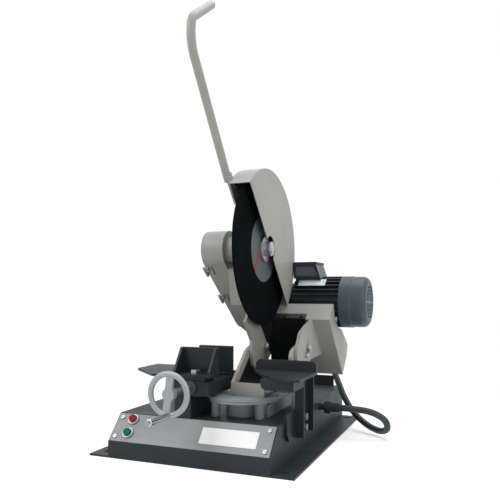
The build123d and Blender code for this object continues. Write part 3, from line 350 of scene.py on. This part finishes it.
finish = {
    "base_paint": paint("base paint", linear(46, 56, 59), rough=0.46, worn=0.45, gloss=0.14).done(),
    "cream_paint": paint("cream paint", linear(162, 162, 157), rough=0.42, worn=0.25, mottle=0.035).done(),
    "grey_paint": paint("grey paint", linear(140, 149, 152), rough=0.42, worn=0.3).done(),
    "dark_paint": paint("dark paint", linear(26, 35, 39), rough=0.48, worn=0.35).done(),
    "panel_paint": brushed_panel(),
    "steel": metal("steel", linear(176, 180, 182), rough=0.34, shine=0.95).done(),
    "chrome": metal("chrome", linear(205, 208, 210), rough=0.16, shine=1.0, spread=0.02).done(),
    "bronze": metal("bronze", linear(120, 96, 66), rough=0.42, shine=0.9).done(),
    "cast": metal("cast iron", linear(70, 73, 75), rough=0.58, shine=0.6, spread=0.14).done(),
    "motor_paint": paint("motor paint", linear(30, 39, 42), rough=0.46, worn=0.3).done(),
    "fan_paint": paint("fan cover paint", linear(66, 81, 91), rough=0.4, worn=0.25, mottle=0.04).done(),
    "abrasive": abrasive_disc(),
    "rubber": rubber_and_shade_sheet(),
    "conduit": conduit_sheath(),
    "red": plastic("red cap", linear(140, 20, 38), rough=0.45, gloss=0.12).done(),
    "green": plastic("green cap", linear(16, 94, 78), rough=0.45, gloss=0.12).done(),
    "black_plastic": plastic("black plastic", linear(24, 27, 28), rough=0.55).done(),
}
for entry in record["subparts"]:
    obj = nodes[entry["node"]]
    obj.data.materials.clear()
    obj.data.materials.append(finish[entry["material_slot"]])


# Finishes of single nodes that differ from their slot
def silver_wheel():
    made = Surface("handwheel silver", linear(158, 164, 167), rough=0.44, metal=0.35)
    made.mottle(amount=0.05, scale=30.0)
    made.relief(strength=0.12, scale=500.0)
    return made.done()


def bezel_ring():
    made = Surface("bezel", linear(176, 180, 181), rough=0.36, metal=0.5)
    made.mottle(amount=0.03, scale=80.0)
    return made.done()


def shaded_upright_bracket():
    """Cream, with painted shade on the inside of the left upright behind a cream front border."""
    made = paint("bracket paint", linear(160, 161, 157), rough=0.42, worn=0.3, mottle=0.05)
    where = made.add("ShaderNodeSeparateXYZ")
    made.link(made.place.outputs["Object"], where.inputs["Vector"])
    inside = made.times(
        made.span(where.outputs["X"], UPRIGHT_INSIDE_X - SHADE_REACH, UPRIGHT_INSIDE_X - SHADE_FULL),
        made.span(where.outputs["X"], UPRIGHT_INSIDE_X + SHADE_REACH, UPRIGHT_INSIDE_X + SHADE_FULL),
    )
    # Distance behind the sloped front edge
    rise = (EDGE_HEAD - EDGE_FOOT).normalized()
    along = made.add("ShaderNodeVectorMath")
    along.operation = "DOT_PRODUCT"
    made.link(made.place.outputs["Object"], along.inputs[0])
    along.inputs[1].default_value = (0.0, rise.y, -rise.x)
    edge_at = EDGE_FOOT.x * rise.y - EDGE_FOOT.y * rise.x
    behind = made.span(along.outputs["Value"], edge_at + SHADE_BORDER[0], edge_at + SHADE_BORDER[1])
    # Near-black painted shade on the inner face of the left upright, where it falls in shadow
    made.paint_over(made.times(inside, behind), linear(10, 15, 15))
    return made.done()


own_finish = {
    "handwheel": silver_wheel(),
    "button_bezels": bezel_ring(),
    "pivot_bracket": shaded_upright_bracket(),
    "terminal_box": paint("terminal box paint", linear(78, 91, 98), rough=0.4, worn=0.2).done(),
}
for name, material in own_finish.items():
    nodes[name].data.materials[0] = material


def add_mesh(name, verts, faces, material, body):
    mesh = bpy.data.meshes.new(name)
    mesh.from_pydata(verts, [], faces)
    mesh.materials.append(material)
    obj = bpy.data.objects.new(name, mesh)
    scene.collection.objects.link(obj)
    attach(obj, body)


# Conduit: one spline along the whole route, cut in two at a set height, drawn as two tubes in place of the
# CAD conduit's pieces
def laid_curve(name, kind, points):
    curve = bpy.data.curves.new(name, "CURVE")
    curve.dimensions = "3D"
    curve.resolution_u = CONDUIT_STEPS
    spline = curve.splines.new(kind)
    spline.points.add(len(points) - 1)
    for point, at in zip(spline.points, points):
        point.co = (at[0], at[1], at[2], 1.0)
    if kind == "NURBS":
        spline.order_u = 3
        spline.use_endpoint_u = True
    line = bpy.data.objects.new(name + "_line", curve)
    scene.collection.objects.link(line)
    return line


def mesh_of(line):
    bpy.context.view_layer.update()
    graph = bpy.context.evaluated_depsgraph_get()
    mesh = bpy.data.meshes.new_from_object(line.evaluated_get(graph))
    bpy.data.objects.remove(line)
    return mesh


def tube(name, path):
    line = laid_curve(name, "POLY", path)
    line.data.bevel_depth = CONDUIT_R
    line.data.bevel_resolution = CONDUIT_BEVEL
    line.data.use_fill_caps = True
    mesh = mesh_of(line)
    for face in mesh.polygons:
        face.use_smooth = True
    mesh.materials.clear()
    mesh.materials.append(finish["conduit"])
    obj = bpy.data.objects.new(name, mesh)
    scene.collection.objects.link(obj)
    length = sum((Vector(b) - Vector(a)).length for a, b in zip(path, path[1:]))
    return obj, length


route = mesh_of(laid_curve("conduit_route", "NURBS", LOWER_PATH + UPPER_PATH[1:]))
route_line = [tuple(v.co) for v in route.vertices]
cut = next(i for i, at in enumerate(route_line) if at[2] >= CUT_Z)
lower_line = route_line[:cut + 1]
upper_line = list(reversed(route_line[cut:]))
lower, lower_length = tube("conduit_lower_run", lower_line)
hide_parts("conduit_lower")
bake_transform(lower)
upper, upper_length = tube("conduit_upper_run", upper_line)
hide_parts("conduit_upper")
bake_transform(upper)


# Plain paper label on the wheel: a thin closed ring with one bare slanted stripe
def label_paper(centre):
    made = Surface("label paper", linear(84, 92, 95), rough=0.62)
    made.mottle(amount=0.06, scale=60.0)
    across = made.add("ShaderNodeVectorMath")
    across.operation = "DOT_PRODUCT"
    made.link(made.place.outputs["Object"], across.inputs[0])
    across.inputs[1].default_value = STRIPE_SLANT
    middle = STRIPE_SLANT.dot(centre) + STRIPE_AT
    low_side = middle - STRIPE_HALF
    high_side = middle + STRIPE_HALF
    rising = made.span(across.outputs["Value"], low_side - STRIPE_EDGE, low_side)
    falling = made.span(across.outputs["Value"], high_side + STRIPE_EDGE, high_side)
    made.paint_over(made.times(rising, falling), linear(130, 62, 62))
    return made.done()


def label_ring(centre, inner_r, outer_r):
    front_x = centre.x + LABEL_T
    section = ((centre.x, inner_r), (centre.x, outer_r), (front_x, outer_r), (front_x, inner_r))
    verts = []
    faces = []
    for i in range(LABEL_STEPS):
        a = 2 * pi * i / LABEL_STEPS
        for x, r in section:
            verts.append((x, centre.y + r * cos(a), centre.z + r * sin(a)))
    for i in range(LABEL_STEPS):
        j = (i + 1) % LABEL_STEPS
        for k in range(4):
            n = (k + 1) % 4
            faces.append((4 * i + k, 4 * j + k, 4 * j + n, 4 * i + n))
    return verts, faces


label_at = level(SPINDLE_LEVEL[0], SPINDLE_LEVEL[1], WHEEL_FACE_X)
label_verts, label_faces = label_ring(label_at, FLANGE_R, LABEL_R)
add_mesh("wheel_label", label_verts, label_faces, label_paper(label_at), "spindle")


# Bare plates: one bent over the motor's fins, one flat on the control panel
def slab(rows):
    """Close rows of four points, two on the inner face and two on the outer, into a thin solid."""
    verts = []
    for inner_a, inner_b, outer_a, outer_b in rows:
        verts.extend((inner_a, inner_b, outer_b, outer_a))
    faces = [(0, 1, 2, 3)]
    for i in range(len(rows) - 1):
        a = 4 * i
        b = a + 4
        for k in range(4):
            faces.append((a + k, b + k, b + (k + 1) % 4, a + (k + 1) % 4))
    last = 4 * (len(rows) - 1)
    faces.append((last + 3, last + 2, last + 1, last))
    return verts, faces


def motor_plate(axis):
    rows = []
    for i in range(PLATE_STEPS + 1):
        a = radians(PLATE_ARC[0] + (PLATE_ARC[1] - PLATE_ARC[0]) * i / PLATE_STEPS)
        points = []
        for r in (MOTOR_R, MOTOR_R + PLATE_T):
            for x in PLATE_X:
                points.append((x, axis.y - r * cos(a), axis.z + r * sin(a)))
        rows.append(points)
    return slab(rows)


def panel_plate():
    rows = []
    for s in PANEL_PLATE_S:
        points = []
        for out in (PANEL_T, PANEL_T + PANEL_PLATE_T):
            for x in PANEL_PLATE_X:
                at = SLOPE_FOOT + s * SLOPE_UP + out * SLOPE_OUT
                points.append((x, at.y, at.z))
        rows.append(points)
    return slab(rows)


motor_axis = level(MOTOR_LEVEL[0], MOTOR_LEVEL[1], 0.0)
plate_foil = metal("plate foil", linear(186, 192, 196), rough=0.4, shine=0.4).done()
plate_verts, plate_faces = motor_plate(motor_axis)
add_mesh("motor_plate", plate_verts, plate_faces, plate_foil, "arm")
white_plate = plastic("white plate", linear(246, 246, 245), rough=0.4).done()
panel_verts, panel_faces = panel_plate()
add_mesh("panel_plate", panel_verts, panel_faces, white_plate, "base")


# Rivets at the ends of the motor plate
def dome(centre, out, radius, height, sides=16, rings=4):
    side = out.orthogonal().normalized()
    other = out.cross(side)
    verts = []
    faces = []
    for i in range(rings):
        a = 0.5 * pi * i / rings
        for k in range(sides):
            b = 2 * pi * k / sides
            spread = radius * cos(a)
            at = centre + out * (height * sin(a)) + side * (spread * cos(b)) + other * (spread * sin(b))
            verts.append(tuple(at))
    verts.append(tuple(centre + out * height))
    for i in range(rings - 1):
        for k in range(sides):
            n = (k + 1) % sides
            faces.append((i * sides + k, i * sides + n, (i + 1) * sides + n, (i + 1) * sides + k))
    last = (rings - 1) * sides
    for k in range(sides):
        faces.append((last + k, last + (k + 1) % sides, rings * sides))
    faces.append(tuple(reversed(range(sides))))
    return verts, faces


def joined(parts):
    verts = []
    faces = []
    for part_verts, part_faces in parts:
        start = len(verts)
        verts.extend(part_verts)
        faces.extend(tuple(start + v for v in face) for face in part_faces)
    return verts, faces


rivet_angle = radians(0.5 * (PLATE_ARC[0] + PLATE_ARC[1]))
rivet_out = Vector((0.0, -cos(rivet_angle), sin(rivet_angle)))
rivets = []
for x in (PLATE_X[0] + RIVET_IN, PLATE_X[1] - RIVET_IN):
    seat = Vector((x, motor_axis.y, motor_axis.z)) + rivet_out * (MOTOR_R + PLATE_T)
    rivets.append(dome(seat, rivet_out, RIVET_R, RIVET_H))
rivet_verts, rivet_faces = joined(rivets)
add_mesh("motor_plate_rivets", rivet_verts, rivet_faces, finish["cast"], "arm")


# Border of the terminal box's front
def box_border():
    outer = [
        (BOX_LEFT_X, BOX_FOOT_Z),
        (BOX_FOOT_RIGHT_X, BOX_FOOT_Z),
        (BOX_HEAD_RIGHT_X, BOX_HEAD_Z),
        (BOX_LEFT_X, BOX_HEAD_Z),
    ]
    inner = [
        (BOX_LEFT_X + BORDER_W, BOX_FOOT_Z + BORDER_W),
        (BOX_FOOT_RIGHT_X - BORDER_W, BOX_FOOT_Z + BORDER_W),
        (BOX_HEAD_RIGHT_X - BORDER_W, BOX_HEAD_Z - BORDER_W),
        (BOX_LEFT_X + BORDER_W, BOX_HEAD_Z - BORDER_W),
    ]
    verts = []
    for y in (BOX_FRONT_Y, BOX_FRONT_Y - BORDER_T):
        for loop in (outer, inner):
            verts.extend((x, y, z) for x, z in loop)
    faces = []
    for k in range(4):
        n = (k + 1) % 4
        faces.append((k, 4 + k, 4 + n, n))
        faces.append((8 + k, 8 + n, 12 + n, 12 + k))
        faces.append((k, n, 8 + n, 8 + k))
        faces.append((4 + k, 12 + k, 12 + n, 4 + n))
    return verts, faces


border_verts, border_faces = box_border()
add_mesh("terminal_border", border_verts, border_faces, finish["motor_paint"], "arm")


def math_node(tree, operation, first, second):
    """The result of a Math node on a socket and a second socket or number."""
    node = tree.nodes.new("ShaderNodeMath")
    node.operation = operation
    tree.links.new(first, node.inputs[0])
    if isinstance(second, float):
        node.inputs[1].default_value = second
    else:
        tree.links.new(second, node.inputs[1])
    return node.outputs["Value"]


def seen_rays(tree):
    """1 where the camera, a reflection or glass sees the surface, and 0 for the light that it gives."""
    rays = tree.nodes.new("ShaderNodeLightPath")
    direct = math_node(tree, "MAXIMUM", rays.outputs["Is Camera Ray"], rays.outputs["Is Glossy Ray"])
    return math_node(tree, "MAXIMUM", direct, rays.outputs["Is Transmission Ray"])


# Floor: white under the light, keeping the shadow near the machine, and plain white further out
def floor_white():
    made = bpy.data.materials.new("floor white")
    made.use_nodes = True
    tree = made.node_tree
    lit = tree.nodes["Principled BSDF"]
    lit.inputs["Base Color"].default_value = FLOOR_COLOUR
    lit.inputs["Roughness"].default_value = FLOOR_ROUGH
    lit.inputs["Specular IOR Level"].default_value = FLOOR_GLOSS
    shown = seen_rays(tree)
    lift = tree.nodes.new("ShaderNodeEmission")
    tree.links.new(math_node(tree, "MULTIPLY", shown, FLOOR_LIFT), lift.inputs["Strength"])
    near = tree.nodes.new("ShaderNodeAddShader")
    tree.links.new(lit.outputs["BSDF"], near.inputs[0])
    tree.links.new(lift.outputs["Emission"], near.inputs[1])
    far = tree.nodes.new("ShaderNodeEmission")
    far.inputs["Strength"].default_value = 1.0
    spot = tree.nodes.new("ShaderNodeNewGeometry")
    reach = tree.nodes.new("ShaderNodeVectorMath")
    reach.operation = "LENGTH"
    tree.links.new(spot.outputs["Position"], reach.inputs[0])
    fade = tree.nodes.new("ShaderNodeMapRange")
    fade.interpolation_type = "SMOOTHSTEP"
    fade.inputs["From Min"].default_value = FLOOR_FADE[0]
    fade.inputs["From Max"].default_value = FLOOR_FADE[1]
    tree.links.new(reach.outputs["Value"], fade.inputs["Value"])
    surface = tree.nodes.new("ShaderNodeMixShader")
    tree.links.new(math_node(tree, "MULTIPLY", fade.outputs["Result"], shown), surface.inputs["Fac"])
    tree.links.new(near.outputs["Shader"], surface.inputs[1])
    tree.links.new(far.outputs["Emission"], surface.inputs[2])
    tree.links.new(surface.outputs["Shader"], tree.nodes["Material Output"].inputs["Surface"])
    return made


bpy.ops.mesh.primitive_plane_add(size=FLOOR_SIZE, location=(0.0, 0.0, 0.0))
floor = bpy.context.object
floor.name = "floor"
floor.data.materials.append(floor_white())


# World: soft fill for the object, plain white where it is seen or mirrored
def studio_world():
    made = bpy.data.worlds.new("studio")
    made.use_nodes = True
    tree = made.node_tree
    fill = tree.nodes["Background"]
    fill.inputs["Color"].default_value = WHITE
    fill.inputs["Strength"].default_value = FILL
    seen = tree.nodes.new("ShaderNodeBackground")
    seen.inputs["Color"].default_value = WHITE
    seen.inputs["Strength"].default_value = 1.0
    surface = tree.nodes.new("ShaderNodeMixShader")
    tree.links.new(seen_rays(tree), surface.inputs["Fac"])
    tree.links.new(fill.outputs["Background"], surface.inputs[1])
    tree.links.new(seen.outputs["Background"], surface.inputs[2])
    tree.links.new(surface.outputs["Shader"], tree.nodes["World Output"].inputs["Surface"])
    return made


scene.world = studio_world()


def lamp(name, at, target, power, size):
    data = bpy.data.lights.new(name, "AREA")
    data.energy = power
    data.size = size
    obj = bpy.data.objects.new(name, data)
    obj.location = at
    obj.rotation_euler = (Vector(target) - Vector(at)).to_track_quat("-Z", "Y").to_euler()
    scene.collection.objects.link(obj)


for name, (at, target, power, size) in LAMPS.items():
    lamp(name, at, target, power, size)

camera = bpy.data.cameras.new("camera")
camera.lens = CAMERA_LENS
camera.sensor_width = CAMERA_SENSOR
camera.shift_y = CAMERA_SHIFT_Y
camera_obj = bpy.data.objects.new("camera", camera)
camera_obj.location = CAMERA_AT
camera_obj.rotation_euler = (radians(90.0), 0.0, radians(CAMERA_TURN))
scene.collection.objects.link(camera_obj)
scene.camera = camera_obj
scene.view_settings.view_transform = "Standard"
